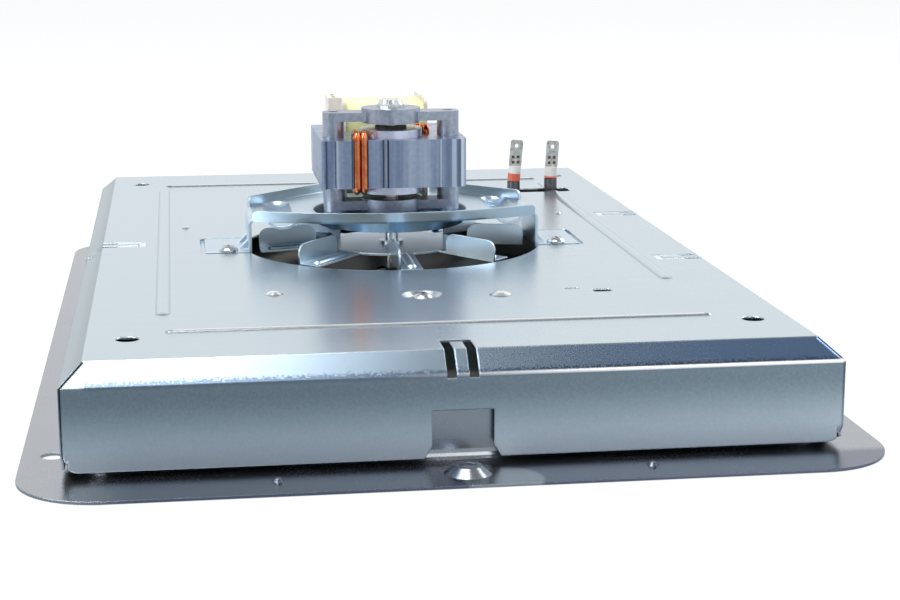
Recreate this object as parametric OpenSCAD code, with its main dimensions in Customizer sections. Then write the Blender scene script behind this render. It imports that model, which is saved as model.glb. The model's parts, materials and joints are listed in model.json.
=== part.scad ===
/* [Sheets] */
// Thickness of the pan, the cover and the clips
sheet_t = 1; // [0.8:0.1:1.2]
// Thickness of the motor bracket
bracket_t = 1.2; // [1:0.1:1.5]
// Thickness of the fan and the wheel
fan_t = 0.8; // [0.6:0.1:1]

/* [Pan] */
// Width of the flange beside the cover
side_rim = 14.7; // [14:0.1:18]
// Width of the flange before the cover
front_rim = 23.5; // [21:0.5:28]
// Width of the flange behind the cover
back_rim = 5.5; // [4.5:0.5:10]
// Corner radius of the flange
pan_corner = 28.5; // [20:0.5:34]
// Height of the drawn roof above the flange's underside
pan_h = 27; // [24:0.5:29]
// Gap between the pan's drawn walls and the cover's walls
wall_gap = 3.4; // [2:0.1:5]
// Corner radius of the drawn walls
draw_corner = 10; // [8:0.5:14]
// Bend radius at the roof's edge
roof_bend = 5; // [3:0.5:6]
// Bend radius at the flange
flange_bend = 4; // [2:0.5:5]
// Diameter of the four flange holes
flange_hole = 8; // [5:0.5:10]
// Flange holes in from the flange's sides
hole_in_side = 10.5; // [9.5:0.5:10.5]
// Flange holes in from the flange's ends
hole_in_end = 52.5; // [40:0.5:70]

/* [Cover] */
// Cover size across its walls
cover_w = 260.6; // [256:0.2:264]
// Cover size front to back
cover_l = 432; // [424:1:436]
// Height of the cover's top face
cover_h = 38.4; // [36:0.2:40]
// Gap under the cover's walls
wall_foot = 3.3; // [2:0.1:5]
// Bevel round the top, measured across
bevel_w = 7.8; // [5:0.2:10]
// Bevel round the top, measured down
bevel_h = 7.1; // [5:0.1:9]
// Width of the slits at the corners
slit = 1.2; // [0.8:0.1:2]
// Radius of the round opening
opening_r = 63; // [61:0.25:64]
// Diameter of the four corner holes
cover_hole = 8; // [6:0.5:10]
// Corner holes in from the cover's sides
cover_hole_side = 21.5; // [20:0.5:24]
// Corner holes in from the cover's ends
cover_hole_end = 37; // [34:0.5:44]
// Side beads in from the cover's sides
bead_side = 33.2; // [31:0.2:36]
// End beads in from the cover's ends
bead_end = 46.4; // [44:0.2:50]
// Width of the notch in the front wall
notch_w = 20.8; // [16:0.4:26]
// Height of the notch's top edge
notch_top = 19.4; // [14:0.2:24]
// Depth of the pockets for the bracket's feet
pocket_d = 1.2; // [0.8:0.1:1.5]

/* [Motor bracket] */
// Height of the bracket's top face
plate_z = 52.5; // [51.5:0.25:55]
// Half of the bracket's width, outside its legs
leg_x = 61.6; // [60.8:0.1:64]
// Length of each foot
foot_l = 18; // [15:0.5:19]
// Front of the legs
leg_front = -13; // [-15:0.5:-11]
// Back of the legs
leg_back = 20; // [17:0.5:22]
// How far the front edge bows out in the middle
front_bow = 14.6; // [14.4:0.2:17]
// Back of the plate, behind the motor
plate_back = 60; // [58:0.5:63]
// Height of the front lip
front_lip = 3.4; // [2:0.2:5]
// Height of the back lip
back_lip = 4; // [2:0.2:6]
// Radius of the dish that the motor stands in
dish_r = 33; // [32:0.5:34]
// Depth of that dish
dish_d = 4.2; // [2.6:0.2:4.4]
// How far the dish's middle lies behind the shaft
dish_shift = 6; // [5:0.5:8]

/* [Motor] */
// Height of the underside of the lamination stack
stack_z = 64.4; // [63.4:0.2:66]
// Height of the lamination stack
stack_h = 20.2; // [18:0.2:22]
// Width of the laminations
stator_w = 61.6; // [58:0.4:64]
// Front of the laminations, before the shaft
stator_front = 16; // [15.6:0.1:17]
// Back of the laminations, behind the shaft
stator_back = 45; // [44:0.5:48]
// Width of the side yokes
yoke_w = 12; // [11.8:0.1:12.6]
// Radius of the bore round the rotor
bore_r = 13.9; // [13.8:0.05:14.2]
// Air gap between rotor and bore
air_gap = 0.4; // [0.3:0.05:0.6]
// Shaft diameter
shaft_d = 6; // [5:0.5:6]
// Radial running clearance of the shaft in its bearings
run_fit = 0.03; // [0.02:0.01:0.08]
// Radial clearance of pieces fixed on the shaft
fixed_fit = 0.02; // [0.01:0.01:0.05]
// Distance between the two motor screws
screw_gap = 49; // [48:0.5:50]
// Diameter of the screws
screw_d = 4; // [3:0.5:4]
// Radius of the bearing hubs
hub_r = 12.5; // [11:0.5:13]
// Height of the bearing hubs
hub_h = 6.2; // [5.6:0.2:7]
// Thickness of the bearing arms
arm_t = 3.8; // [3.2:0.2:4.6]
// Width of the bearing arms, front to back
arm_l = 12; // [10:0.5:14]
// Width of the bearing posts
post_w = 8.8; // [8:0.2:9.2]
// Clear height between laminations and bearing arms
post_h = 6.8; // [6:0.2:8]

/* [Coil] */
// Depth of the core inside the coil, front to back
limb_l = 12; // [10:0.5:13]
// Height of the wound coil
coil_h = 40; // [36:0.5:41]
// Depth of the wound coil, front to back
coil_l = 33; // [30:0.5:34]
// How far the coil's middle lies above the core's middle
coil_lift = 1.5; // [0:0.1:2]
// Wall of the bobbin
bobbin_t = 1.5; // [1:0.1:1.6]
// Clearance between core, bobbin and laminations
coil_fit = 0.2; // [0.1:0.05:0.3]

/* [Cooling fan] */
// Tip radius of the cooling fan
fan_r = 56.5; // [52:0.5:57.5]
// Number of arms
fan_arms = 8; // [6:1:8]
// Width of an arm
fan_arm_w = 10; // [8:0.5:11]
// Height of the fan's hub plate
fan_z = 38; // [37.5:0.1:38.3]
// Height of a blade above its arm
blade_h = 8.8; // [8:0.2:9]
// Inner end of a blade
blade_in = 32; // [31:0.5:34]

/* [Oven side] */
// Radius of the convection wheel
wheel_r = 72; // [66:1:76]
// Number of blades on the wheel
wheel_blades = 12; // [10:1:16]
// Height of the wheel's blades
wheel_blade_h = 14; // [11:0.5:15]
// Radius of the ring heater
ring_r = 95; // [90:1:100]
// Diameter of the heater's tube
tube_d = 6.4; // [5.6:0.2:6.6]
// Height of the ring heater's middle
ring_z = 12; // [10:0.5:14]
// Heater's terminals in from the cover's side
terminal_side = 42.8; // [41.3:0.5:45.3]
// Heater's terminals in from the cover's back
terminal_end = 86; // [84:0.5:88]
// Distance between the terminals
terminal_gap = 19; // [17:0.5:20]

/* [Hidden] */
$fn = 64;

eps = 0.5;
round_fn = 96;
steel = "#b9c3c8";
dark_steel = "#9aa0a6";
cast_grey = "#7d838c";

pan_w = cover_w + 2 * side_rim;
pan_l = cover_l + front_rim + back_rim;
cover_shift = (front_rim - back_rim) / 2;
cover_front = cover_shift - cover_l / 2;
cover_back = cover_shift + cover_l / 2;
terminal_x = cover_w / 2 - terminal_side;
terminal_y = cover_back - terminal_end;
drawn_w = cover_w - 2 * (sheet_t + wall_gap);
drawn_l = cover_l - 2 * (sheet_t + wall_gap);
stack_top = stack_z + stack_h;
stack_mid = stack_z + stack_h / 2;
shaft_r = shaft_d / 2;
rotor_r = bore_r - air_gap;
floor_z = plate_z - dish_d;
dish_low_r = dish_r - 2;
foot_top = cover_h - pocket_d + bracket_t;
terminals = [[terminal_x - terminal_gap / 2, terminal_y],
             [terminal_x + terminal_gap / 2, terminal_y]];
function polar(r, a) = [r * cos(a), r * sin(a)];
function arc(c, r, a, b, n) = [for (i = [0 : n]) c + polar(r, a + (b - a) * i / n)];

// A flat rectangle with round corners
module round_rect(w, l, r) {
    square([w - 2 * r, l], center = true);
    square([w, l - 2 * r], center = true);
    for (sx = [-1, 1], sy = [-1, 1])
        translate([sx * (w / 2 - r), sy * (l / 2 - r)]) circle(r);
}

// A section swept round a rectangle, its own origin on the corners' centres
module swept_wall(w, l) {
    for (turn = [0, 180]) rotate(turn) {
        translate([w / 2, 0, 0]) rotate([90, 0, 0])
            linear_extrude(l, center = true) children();
        translate([0, l / 2, 0]) rotate([90, 0, 90])
            linear_extrude(w, center = true) children();
        translate([w / 2, l / 2, 0]) rotate_extrude(angle = 90) children();
        translate([-w / 2, l / 2, 0]) rotate(90) rotate_extrude(angle = 90) children();
    }
}

// A pressed bead with round ends along Y, standing on z = 0
module bead(w, len, h) {
    r = (w * w / 4 + h * h) / (2 * h);
    run = len / 2 - w / 2;
    intersection() {
        translate([0, 0, h - r]) union() {
            rotate([90, 0, 0]) cylinder(r = r, h = 2 * run, center = true);
            for (end = [-run, run]) translate([0, end, 0]) sphere(r);
        }
        translate([-w, -len, 0]) cube([2 * w, 2 * len, h + eps]);
    }
}

// A screw along Z with a low round head, its seat at z = 0, its shank upwards
module screw(head_r, head_h, len) {
    translate([0, 0, -head_h]) difference() {
        intersection() {
            cylinder(r = head_r, h = head_h);
            translate([0, 0, head_r * 1.25]) sphere(r = head_r * 1.35);
        }
        for (turn = [0, 90]) rotate(turn)
            translate([-head_r * 0.55, -0.4, -eps]) cube([head_r * 1.1, 0.8, eps + 1]);
    }
    cylinder(d = screw_d, h = len);
}

// Pan: a flanged tray, drawn up to the roof that the motor is fixed on
draw_base_w = drawn_w - 2 * draw_corner;
draw_base_l = drawn_l - 2 * draw_corner;
flange_start = draw_corner + flange_bend;
pan_section = concat(
    [[0, pan_h]],
    arc([draw_corner - roof_bend, pan_h - roof_bend], roof_bend, 90, 0, 5),
    arc([flange_start, sheet_t + flange_bend], flange_bend, 180, 270, 5),
    [[flange_start + eps, sheet_t], [flange_start + eps, 0]],
    arc([flange_start, sheet_t + flange_bend], flange_bend + sheet_t, 270, 180, 5),
    arc([draw_corner - roof_bend, pan_h - roof_bend], roof_bend - sheet_t, 0, 90, 5),
    [[0, pan_h - sheet_t]]);
cover_dish_d = 1.5;
pad_dish = [-0.9, -opening_r - 48.6, cover_h - cover_dish_d - sheet_t];
foot_screws = [for (s = [-1, 1]) [s * (leg_x + 8.5), -10.5]];
screw_hole = screw_d + 0.2;
long_screw = 9;
short_screw = 6;
roof_low = pan_h - sheet_t;
pads = concat([pad_dish],
    [for (p = foot_screws) [p[0], p[1], cover_h - pocket_d - sheet_t]]);
pad_r = 6;
pad_foot_r = 10;

// Three hollow cups on the pan's roof that carry the cover at its screws
module cover_spacers() color(dark_steel) for (p = pads) {
    rise = p[2] - pan_h;
    translate([p[0], p[1], pan_h]) difference() {
        cylinder(r1 = pad_foot_r, r2 = pad_r, h = rise);
        translate([0, 0, -0.01])
            cylinder(r1 = pad_foot_r - sheet_t, r2 = pad_r - sheet_t, h = rise - sheet_t);
        cylinder(d = screw_hole, h = rise + eps);
    }
}

module oven_pan() color(dark_steel) {
    boss_h = 2.7;
    boss_y = 13.5 - pan_l / 2;
    nib_y = 13 - pan_l / 2;
    nib_x = 61.5;
    nib_r = 2;
    cut_h = 4;
    difference() {
        union() {
            linear_extrude(sheet_t) difference() {
                round_rect(pan_w, pan_l, pan_corner);
                translate([0, cover_shift]) round_rect(
                    draw_base_w + 2 * flange_start + eps,
                    draw_base_l + 2 * flange_start + eps, flange_start + eps / 2);
            }
            translate([0, cover_shift, 0]) {
                swept_wall(draw_base_w, draw_base_l) polygon(pan_section);
                translate([-draw_base_w / 2, -draw_base_l / 2, pan_h - sheet_t])
                    cube([draw_base_w, draw_base_l, sheet_t]);
            }
            translate([0, boss_y, sheet_t]) cylinder(r1 = 7.8, r2 = 4.6, h = boss_h);
            for (s = [-1, 1]) translate([s * nib_x, nib_y, sheet_t])
                cylinder(r1 = nib_r, r2 = nib_r / 2, h = 1.2);
        }
        translate([0, boss_y, -0.01]) cylinder(r1 = 7.8, r2 = 4.6, h = boss_h);
        translate([0, boss_y, 0]) cylinder(d = 5.4, h = 9);
        for (sx = [-1, 1], sy = [-1, 1])
            translate([sx * (pan_w / 2 - hole_in_side), sy * (pan_l / 2 - hole_in_end), -eps])
                cylinder(d = flange_hole, h = sheet_t + 2 * eps);
        translate([0, 0, pan_h - cut_h / 2]) {
            cylinder(r = shaft_r + 4, h = cut_h);
            for (p = terminals) translate(p) cylinder(d = tube_d + 0.4, h = cut_h);
            for (p = heater_screw_places) translate(p) cylinder(d = screw_hole, h = cut_h);
        }
    }
}

// Cover: one folded sheet, bevelled round its top, over the pan
bevel_angle = atan2(bevel_h, bevel_w);
module cover_block(inset) {
    module side(size, len) {
        top = cover_h - inset;
        edge = size / 2 - bevel_w - inset * tan(bevel_angle / 2);
        wall = size / 2 - inset;
        low = cover_h - bevel_h - inset * tan(45 - bevel_angle / 2);
        base = wall_foot - (inset > 0 ? eps : 0);
        rotate([90, 0, 0]) linear_extrude(len, center = true)
            polygon([[-wall, base], [-wall, low], [-edge, top],
                     [edge, top], [wall, low], [wall, base]]);
    }
    intersection() {
        side(cover_w, cover_l + 9);
        rotate(90) side(cover_l, cover_w + 9);
    }
}

// Two tapping slots beside a spring tongue, from the top over the bevel
slot_w = 10.6;
tongue_w = 4.2;
slot_arm = 3.2;
module tongue_slot(reach, depth) {
    low = cover_h - bevel_h - 1;
    translate([-slot_w / 2, -reach, low]) difference() {
        cube([slot_w, depth, bevel_h + 3]);
        translate([slot_arm, -eps, -eps])
            cube([tongue_w, depth + eps - slot_arm, bevel_h + 9]);
    }
}

pocket_w = [leg_x - 5, leg_x + foot_l + 2];
pocket_l = [leg_front - 3, leg_back + 2];

// Beads on the cover: place, turn, width and length
side_bead_w = 5.8;
end_bead_w = 3.4;
end_bead_l = cover_w - 67.6;
side_bead_back = cover_back - 61;
function side_bead(s, front) = [[s * (cover_w / 2 - bead_side), (front + side_bead_back) / 2],
    0, side_bead_w, side_bead_back - front];
cover_beads = [
    side_bead(-1, cover_front + 72.5),
    side_bead(1, cover_front + 111),
    [[0, cover_front + bead_end], 90, end_bead_w, end_bead_l],
    [[0, cover_back - bead_end], 90, end_bead_w, end_bead_l]];
bead_h = 0.7;

// Round dimples on the cover: place, radius and height
cover_dimples = [[[-56, -opening_r - 40], 3.5, 1.2], [[28, -opening_r - 53], 4.5, 1.2],
    [[42.8 - cover_w / 2, 50], 2, 0.8], [[cover_w / 2 - 44.3, 65], 2, 0.8]];

// Small slots in the cover: place, width, length and corner radius
cover_slots = [[[56.5, -opening_r - 45], 6, 2.4, 1.1], [[67.2, -opening_r - 50], 7, 5, 1]];
tongue_depth = [20.8, 25.8, 26.8];
tongue_left_y = 11;
tongue_right_y = [-50, 61];
cut_over = 3;

module pressed_down(depth) {
    translate([0, 0, cover_h - depth]) linear_extrude(depth + cut_over) children();
}

module through_cover() {
    translate([0, 0, cover_h - 9]) linear_extrude(9 + cut_over) children();
}

// All beads and dimples, raised on the cover's outside or followed on its inside
module raised_forms(level) {
    for (b = cover_beads) translate([b[0][0], b[0][1], level])
        rotate(b[1]) bead(b[2], b[3], bead_h);
    for (p = cover_dimples) translate([p[0][0], p[0][1], level])
        cylinder(r1 = p[1], r2 = p[1] * 0.45, h = p[2]);
}

module rear_cover() color(steel) {
    half_w = cover_w / 2;
    half_l = cover_l / 2;
    foot_round = 6;
    difference() {
        union() {
            translate([0, cover_shift, 0]) difference() {
                cover_block(0);
                cover_block(sheet_t);
            }
            for (s = [-1, 1]) translate([0, 0, cover_h - pocket_d - sheet_t])
                linear_extrude(pocket_d + sheet_t / 2)
                    pocket_outline(s, sheet_t);
            translate([pad_dish[0], pad_dish[1], cover_h - cover_dish_d - sheet_t])
                cylinder(r1 = 6.4, r2 = 8.4, h = cover_dish_d + sheet_t / 2);
            raised_forms(cover_h - 0.01);
        }
        raised_forms(cover_h - 0.01 - sheet_t);
        for (s = [-1, 1]) pressed_down(pocket_d) pocket_outline(s, 0);
        translate([pad_dish[0], pad_dish[1], cover_h - cover_dish_d])
            cylinder(r1 = 6, r2 = 8, h = cover_dish_d + 0.01);
        translate([pad_dish[0], pad_dish[1], cover_h]) cylinder(r = 8, h = cut_over);
        through_cover() circle(opening_r, $fn = round_fn);
        for (p = pads) translate([p[0], p[1], pan_h]) cylinder(d = screw_hole, h = 20);
        translate([0, cover_shift, 0]) {
            for (sx = [-1, 1], sy = [-1, 1]) {
                translate([sx * (half_w - cover_hole_side), sy * (half_l - cover_hole_end)])
                    through_cover() circle(d = cover_hole);
                translate([sx * half_w, sy * half_l, 0])
                    rotate(atan2(sy, sx)) translate([-bevel_w * sqrt(2), -slit / 2, 0])
                        cube([bevel_w * sqrt(2) + 9, slit, cover_h - 0.3]);
                translate([sx * half_w, sy * half_l, wall_foot]) {
                    rotate([90, 0, 0]) foot_corner(sx, foot_round, 2 * sheet_t + eps);
                    rotate([90, 0, 90]) foot_corner(sy, foot_round, 2 * sheet_t + eps);
                }
            }
            translate([0, -half_l, 0]) rotate([90, 0, 0])
                linear_extrude(4, center = true) polygon([
                    [-notch_w / 2 - 3, -1], [-notch_w / 2 - 2.4, wall_foot],
                    [-notch_w / 2, wall_foot + 4], [-notch_w / 2, notch_top],
                    [notch_w / 2, notch_top], [notch_w / 2, wall_foot + 4],
                    [notch_w / 2 + 2.4, wall_foot], [notch_w / 2 + 3, -1]]);
            tongue_slot(half_l + eps, tongue_depth[0] + eps);
        }
        translate([-half_w, tongue_left_y, 0]) rotate(-90)
            tongue_slot(eps, tongue_depth[1] + eps);
        for (y = tongue_right_y) translate([half_w, y, 0]) rotate(90)
            tongue_slot(eps, tongue_depth[2] + eps);
        translate([terminal_x, terminal_y]) through_cover()
            round_rect(terminal_gap + 2 * tube_d + 6, tube_d + 6, 3);
        for (c = cover_slots) translate(c[0]) through_cover() round_rect(c[1], c[2], c[3]);
    }
}

// What rounds a wall's lower corner: all that lies outside an arc
module foot_corner(side, r, depth) {
    linear_extrude(2 * depth, center = true) difference() {
        translate([side > 0 ? -r : -1, -1]) square([r + 1, r + 1]);
        translate([-side * r, r]) circle(r);
    }
}

module pocket_outline(side, grow) {
    w = pocket_w[1] - pocket_w[0] + 2 * grow;
    l = pocket_l[1] - pocket_l[0] + 2 * grow;
    difference() {
        translate([side * (pocket_w[0] + pocket_w[1]) / 2, (pocket_l[0] + pocket_l[1]) / 2])
            round_rect(w, l, 3 + grow);
        circle(opening_r, $fn = round_fn);
    }
}

module cover_screw() color("#c9cdd0")
    translate([pad_dish[0], pad_dish[1], cover_h - cover_dish_d])
        mirror([0, 0, 1]) screw(3.8, 2.2, long_screw);

// Motor bracket: a bridge over the opening, with turned-up lips and a round dish
front_edge_r = (leg_x * leg_x + front_bow * front_bow) / (2 * front_bow);
front_edge_y = leg_front - front_bow + front_edge_r;
rib_x = 48.3;
rib_back = 32;
rib_w = 12;
rib_d = 2.8;
leg_bend = 3;
lip_end = 1.5;
lip_round = 2.4;
lip_lean = 1.2;
gusset = 4;
back_run = leg_x + leg_back + 2.4;

// The plate's outline: an arc in front, and the back cut off at 45 degrees on both sides
module plate_outline() {
    half = back_run - plate_back;
    intersection() {
        translate([0, front_edge_y]) circle(front_edge_r, $fn = 180);
        polygon([[leg_x, -leg_x], [leg_x, back_run - leg_x], [half, plate_back],
                 [-half, plate_back], [-leg_x, back_run - leg_x], [-leg_x, -leg_x]]);
    }
}

module motor_bracket() color(steel) {
    low = plate_z - bracket_t;
    foot_end = leg_x + foot_l;
    foot_low = foot_top - bracket_t;
    hat = concat(
        [[0, plate_z]],
        arc([leg_x - leg_bend, plate_z - leg_bend], leg_bend, 90, 0, 5),
        [[leg_x, foot_top], [foot_end, foot_top], [foot_end, foot_low],
         [leg_x - bracket_t, foot_low]],
        arc([leg_x - leg_bend, plate_z - leg_bend], leg_bend - bracket_t, 0, 90, 5),
        [[0, low]]);
    difference() {
        union() {
            for (s = [0, 1]) mirror([s, 0, 0]) {
                translate([0, (leg_front + leg_back) / 2, 0]) rotate([90, 0, 0])
                    linear_extrude(leg_back - leg_front, center = true) polygon(hat);
                for (y = [leg_front + 9, leg_back - 9]) translate([0, y, 0])
                    rotate([90, 0, 0]) linear_extrude(gusset, center = true)
                        polygon([[leg_x - eps, foot_top + gusset], [leg_x, foot_top + gusset],
                                 [leg_x + gusset, foot_top], [leg_x + gusset, foot_low + eps],
                                 [leg_x - eps, foot_low + eps]]);
            }
            intersection() {
                translate([0, 0, low]) linear_extrude(bracket_t) plate_outline();
                translate([-leg_x + leg_bend, -2 * leg_x, 0])
                    cube([2 * (leg_x - leg_bend), 4 * leg_x, plate_z]);
            }
            translate([0, dish_shift, floor_z - bracket_t])
                cylinder(r1 = dish_low_r + bracket_t / 2, r2 = dish_r + bracket_t / 2,
                    h = dish_d + bracket_t / 2);
            intersection() {
                plate_ribs(bracket_t, plate_z);
                linear_extrude(plate_z) plate_outline();
            }
        }
        translate([0, dish_shift, floor_z])
            cylinder(r1 = dish_low_r, r2 = dish_r, h = dish_d + 0.01);
        plate_ribs(0, plate_z + 0.01);
        cylinder(r = cap_r + 1.2, h = plate_z);
        for (s = [-1, 1]) translate([s * screw_gap / 2, 0, 0])
            cylinder(d = screw_hole, h = plate_z);
        for (p = foot_screws) translate([p[0], p[1], 0])
            cylinder(d = screw_hole, h = foot_top + eps);
    }
    front_lip_form();
    back_lip_form();
}

// Both ribs pressed down from the plate, open at its front edge
module plate_ribs(grow, level) {
    front = leg_front - front_bow;
    for (s = [-1, 1]) translate([s * rib_x, (front + rib_back) / 2, level])
        mirror([0, 0, 1]) bead(rib_w + 2 * grow, rib_back - front + 2 * grow, rib_d + grow);
}

// A lip's face, its upper corners rounded, standing on the plate's underside
module lip_face(w, h) {
    translate([-w / 2, 0]) square([w, h - lip_round]);
    translate([lip_round - w / 2, 0]) square([w - 2 * lip_round, h]);
    for (s = [-1, 1]) translate([s * (w / 2 - lip_round), h - lip_round]) circle(lip_round);
}

module front_lip_form() {
    h = front_lip + bracket_t;
    translate([0, 0, plate_z - bracket_t]) intersection() {
        translate([0, front_edge_y, 0]) difference() {
            cylinder(r1 = front_edge_r, r2 = front_edge_r + lip_lean, h = h, $fn = 180);
            translate([0, 0, -0.01]) cylinder(r1 = front_edge_r - bracket_t,
                r2 = front_edge_r + lip_lean - bracket_t, h = h + 0.02, $fn = 180);
        }
        translate([0, leg_front, 0]) rotate([90, 0, 0])
            linear_extrude(5 * front_bow, center = true)
                lip_face(2 * (leg_x - lip_end), h);
    }
}

// Lips on the plate's three back edges, each short of the corners and a hair inboard
module back_lip_form() {
    h = back_lip + bracket_t;
    half = back_run - plate_back;
    slant_l = (leg_x - half) * sqrt(2);
    set_in = bracket_t + 0.05;
    translate([0, 0, plate_z - bracket_t]) {
        for (s = [0, 1]) mirror([s, 0, 0]) translate([half, plate_back, 0])
            rotate([0, 0, -45]) translate([slant_l / 2, -set_in, 0]) mirror([0, 1, 0])
                rotate([90, 0, 0]) linear_extrude(bracket_t)
                    lip_face(slant_l - 2 * lip_end, h);
        translate([0, plate_back - set_in, 0]) mirror([0, 1, 0]) rotate([90, 0, 0])
            linear_extrude(bracket_t) lip_face(2 * (half - lip_end), h);
    }
}

module bracket_screws() color("#c9cdd0")
    for (p = foot_screws) translate([p[0], p[1], foot_top])
        mirror([0, 0, 1]) screw(4, 2.4, long_screw);

// Laminations of the C frame, with slots for the shading rings
ring_wire = 2.8;
ring_fit = 0.15;
ring_out = stator_front - 0.7;
ring_legs = [[15.9, 5.5], [12.9, 9]];
window_front = stator_front;
limb_front = stator_back - limb_l;

module stator_laminations() color("#6d7a94") {
    half = stator_w / 2;
    window = half - yoke_w;
    translate([0, 0, stack_z]) difference() {
        linear_extrude(stack_h) difference() {
            translate([-half, -stator_front]) square([stator_w, stator_front + stator_back]);
            circle(bore_r, $fn = round_fn);
            translate([-window, window_front])
                square([2 * window, stator_back - window_front + eps]);
            translate([-half - eps, -stator_front - eps]) difference() {
                square(1.8 + eps);
                translate([1.8 + eps, 1.8 + eps]) circle(1.8);
            }
            translate([-27, -stator_front - 1]) circle(2.4);
            translate([half + eps, -stator_front - eps]) mirror([1, 0]) difference() {
                square(5 + eps);
                translate([5 + eps, 5 + eps]) circle(5);
            }
            for (turn = [0, 180]) rotate(turn) {
                translate([-17.6, -stator_front - 2]) square([6.4, 4.2]);
                for (leg = ring_legs) translate([-leg[0], -leg[1]])
                    circle(d = ring_wire + 2 * ring_fit);
            }
            translate([-5.2, -stator_front - eps]) square([1.4, 1.1 + eps]);
            for (s = [-1, 1]) translate([s * screw_gap / 2, 0]) circle(d = screw_d + 0.4);
        }
    }
}

module coil_core() color("#6d7a94")
    translate([-(stator_w / 2 - yoke_w), limb_front, stack_z])
        cube([stator_w - 2 * yoke_w, limb_l, stack_h]);

// A closed round-cornered tube along X round the core, d outside the core
module round_core(d, w, r) {
    translate([0, limb_front + limb_l / 2, stack_mid]) rotate([0, 90, 0])
        linear_extrude(w, center = true)
            round_rect(stack_h + 2 * d, limb_l + 2 * d, r);
}

// The same round the coil, by its outer height and depth
module round_coil(h, l, w, r) {
    translate([0, limb_front + limb_l / 2, stack_mid + coil_lift]) rotate([0, 90, 0])
        linear_extrude(w, center = true) round_rect(h, l, r);
}

flange_x = stator_w / 2 - yoke_w - coil_fit;
flange_more = 4;
coil_w = 2 * (flange_x - bobbin_t);
coil_in = coil_fit + bobbin_t;
coil_corner = 5;
tape_t = 0.4;

block_h = stack_mid + coil_lift + (coil_h + flange_more) / 2 - stack_top - 1;

module bobbin() color("#eceae4") difference() {
    union() {
        round_core(coil_in, 2 * flange_x, 1.2);
        for (s = [-1, 1]) translate([s * (flange_x - bobbin_t / 2), 0, 0])
            round_coil(coil_h + flange_more, coil_l + 2, bobbin_t, 3);
        translate([-flange_x - 5.4, limb_front - 4, stack_top + 1])
            cube([5.4 + eps, 20, block_h]);
    }
    round_core(coil_fit, 99, 0.4);
    for (y = [0, 9]) translate([-flange_x - 3.6, limb_front - 2 + y, stack_top + 6])
        cube([1.6, 6, 20]);
}

module coil_winding() color("#b4703a") difference() {
    round_coil(coil_h - 2 * tape_t, coil_l - 2 * tape_t, coil_w, coil_corner);
    round_core(coil_in, 99, 1.2);
}

module coil_tape() color("#ece9b4") difference() {
    round_coil(coil_h, coil_l, coil_w, coil_corner + tape_t);
    round_coil(coil_h - 2 * tape_t, coil_l - 2 * tape_t, 99, coil_corner);
}

// One closed copper loop from the outer slot to the hole beside the bore
module shading_ring(leg) {
    low = stack_z - ring_wire / 2 - ring_fit;
    high = stack_top + ring_wire / 2 + 1.2;
    bend = 2;
    span = ring_out - leg[1];
    module bar(len) cylinder(d = ring_wire, h = len, $fn = 32);
    module elbow() rotate([0, 90, 0]) rotate_extrude(angle = 90, $fn = 32)
        translate([bend, 0]) circle(d = ring_wire, $fn = 32);
    translate([-leg[0], -ring_out, 0]) {
        translate([0, 0, low + bend]) bar(high - low - 2 * bend);
        translate([0, span, low + bend]) bar(high - low - 2 * bend);
        for (z = [low, high]) translate([0, bend, z]) rotate([-90, 0, 0])
            bar(span - 2 * bend);
        translate([0, span - bend, low + bend]) elbow();
        translate([0, span - bend, high - bend]) rotate([90, 0, 0]) elbow();
        translate([0, bend, high - bend]) rotate([180, 0, 0]) elbow();
        translate([0, bend, low + bend]) rotate([270, 0, 0]) elbow();
    }
}

module front_shading_rings() color("#c8713a")
    for (leg = ring_legs) shading_ring(leg);

module rear_shading_rings() color("#c8713a")
    rotate(180) for (leg = ring_legs) shading_ring(leg);

// Die-cast bearing bracket, drawn above the stack
cap_r = 6.3;
cap_h = 3.4;
cup_r = 5.4;
module post_outline() {
    for (s = [-1, 1]) translate([s * screw_gap / 2, 0])
        round_rect(post_w, arm_l, post_w / 2 - 0.2);
}

module bearing_bracket(foot) {
    arm_low = stack_top + post_h;
    hub_low = arm_low - 0.8;
    difference() {
        union() {
            translate([0, 0, stack_top]) linear_extrude(post_h + arm_t + foot)
                post_outline();
            translate([0, 0, arm_low]) linear_extrude(arm_t)
                square([screw_gap, arm_l], center = true);
            translate([0, 0, hub_low]) cylinder(r = hub_r, h = hub_h);
        }
        translate([0, 0, hub_low + 1]) cylinder(r = cup_r, h = hub_h);
        translate([0, 0, hub_low - 1]) cylinder(r = shaft_r + 0.6, h = 9);
        for (s = [-1, 1]) translate([s * screw_gap / 2, 0, stack_top - 1])
            cylinder(d = screw_hole, h = 99);
    }
}

module below_stack() translate([0, 0, 2 * stack_mid]) mirror([0, 0, 1]) children();
hub_top = stack_top + post_h - 0.8 + hub_h;
lower_foot = 2 * stack_mid - (stack_top + post_h + arm_t) - floor_z;

module upper_bearing_bracket() color(cast_grey) bearing_bracket(0);
module lower_bearing_bracket() color(cast_grey)
    below_stack() bearing_bracket(lower_foot);

module bearing() {
    h = hub_h - 1.4;
    translate([0, 0, hub_top - hub_h + 1.2]) difference() {
        intersection() {
            translate([0, 0, h / 2]) sphere(cup_r - 0.05);
            cylinder(r = cup_r, h = h);
        }
        translate([0, 0, -1]) cylinder(r = shaft_r + run_fit, h = 9);
    }
}
module upper_bearing() color("#a4814e") bearing();
module lower_bearing() color("#a4814e") below_stack() bearing();

module upper_bearing_cap() color("#d5d8dc") translate([0, 0, hub_top]) intersection() {
    cylinder(r1 = cap_r, r2 = cap_r - 1.6, h = cap_h);
    cylinder(r = cap_r - 0.5, h = cap_h, $fn = 10);
}
module lower_bearing_cap() color("#d5d8dc") below_stack()
    translate([0, 0, hub_top]) difference() {
        cylinder(r1 = cap_r, r2 = cap_r - 1.6, h = cap_h);
        translate([0, 0, -1]) cylinder(r = shaft_r + 0.4, h = cap_h + 2);
    }

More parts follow.
